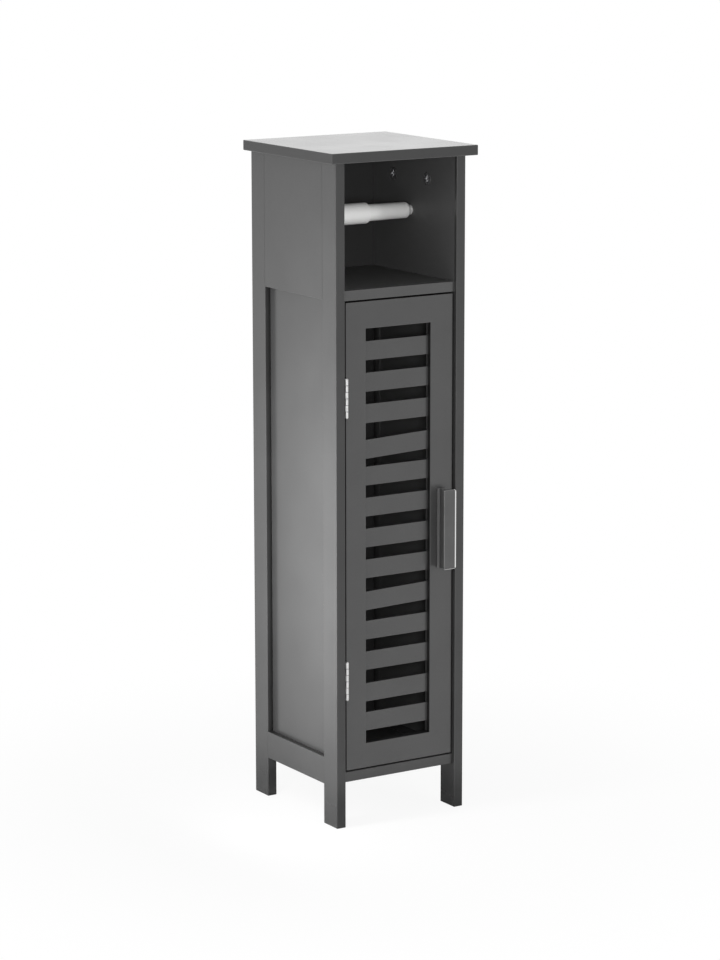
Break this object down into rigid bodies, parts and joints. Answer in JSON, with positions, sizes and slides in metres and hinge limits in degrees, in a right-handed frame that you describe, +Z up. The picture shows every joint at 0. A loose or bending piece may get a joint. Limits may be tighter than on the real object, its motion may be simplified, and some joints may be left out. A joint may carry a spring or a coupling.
{
  "type": "toilet roll storage cabinet",
  "caption": "Slim free-standing bathroom cabinet with an open roll compartment and spindle above a slatted, hinged door with an edge pull.",
  "frame": {"origin": "on the floor, under the centre of the top's outline", "axes": "+X to the cabinet's right seen from its front, +Y to the wall behind it, +Z up"},
  "size_m": [0.2, 0.202, 0.8],
  "materials": {
    "dark_paint": "satin charcoal grey paint on fibreboard and wood",
    "bare_wood": "unpainted hardwood dowel",
    "hinge_steel": "bright plated steel",
    "bright_steel": "zinc-plated steel",
    "zinc_alloy": "raw cast zinc alloy",
    "handle_metal": "semi-gloss dark grey powder coat",
    "white_plastic": "soft-gloss white moulded plastic",
    "catch_plastic": "matte off-white plastic",
    "magnet_iron": "dark sintered magnet"
  },
  "bodies": {
    "carcass": {"top_panel": "dark_paint", "left_front_stile": "dark_paint", "left_back_stile": "dark_paint", "left_upper_board": "dark_paint", "left_lower_rail": "dark_paint", "left_side_panel": "dark_paint", "right_front_stile": "dark_paint", "right_back_stile": "dark_paint", "right_upper_board": "dark_paint", "right_lower_rail": "dark_paint", "right_side_panel": "dark_paint", "roll_shelf": "dark_paint", "bottom_board": "dark_paint", "back_panel": "dark_paint", "side_frame_dowels": "bare_wood", "top_dowels": "bare_wood", "cam_bolts": "bright_steel", "cam_locks": "zinc_alloy", "upper_hinge_frame_leaf": "hinge_steel", "lower_hinge_frame_leaf": "hinge_steel", "upper_hinge_pin": "hinge_steel", "lower_hinge_pin": "hinge_steel", "hinge_frame_screws": "bright_steel", "catch_case": "catch_plastic", "catch_magnet": "magnet_iron", "catch_screws": "bright_steel"},
    "door": {"door_left_stile": "dark_paint", "door_right_stile": "dark_paint", "door_top_rail": "dark_paint", "door_bottom_rail": "dark_paint", "slat_01": "dark_paint", "slat_02": "dark_paint", "slat_03": "dark_paint", "slat_04": "dark_paint", "slat_05": "dark_paint", "slat_06": "dark_paint", "slat_07": "dark_paint", "slat_08": "dark_paint", "slat_09": "dark_paint", "slat_10": "dark_paint", "slat_11": "dark_paint", "slat_12": "dark_paint", "slat_13": "dark_paint", "upper_hinge_door_leaf": "hinge_steel", "lower_hinge_door_leaf": "hinge_steel", "hinge_door_screws": "bright_steel", "handle": "handle_metal", "handle_screws": "bright_steel", "strike_plate": "bright_steel", "strike_screw": "bright_steel"},
    "spindle_barrel": {"spindle_barrel": "white_plastic", "spindle_spring": "bright_steel"},
    "spindle_plunger": {"spindle_plunger": "white_plastic"}
  },
  "joints": [
    {"name": "door_hinge", "type": "hinge", "parent": "carcass", "child": "door", "pos_m": [-0.075, -0.09064, 0.347], "axis": [0, 0, -1], "range_deg": [0, 200]},
    {"name": "spindle_spin", "type": "hinge", "parent": "carcass", "child": "spindle_barrel", "pos_m": [0, 0.01, 0.715], "axis": [1, 0, 0], "continuous": true},
    {"name": "spindle_squeeze", "type": "slide", "parent": "spindle_barrel", "child": "spindle_plunger", "axis": [1, 0, 0], "range_m": [-0.012, 0], "stiffness_N_per_m": 300, "springref_m": 0.01, "deforming": ["spindle_spring"]}
  ]
}
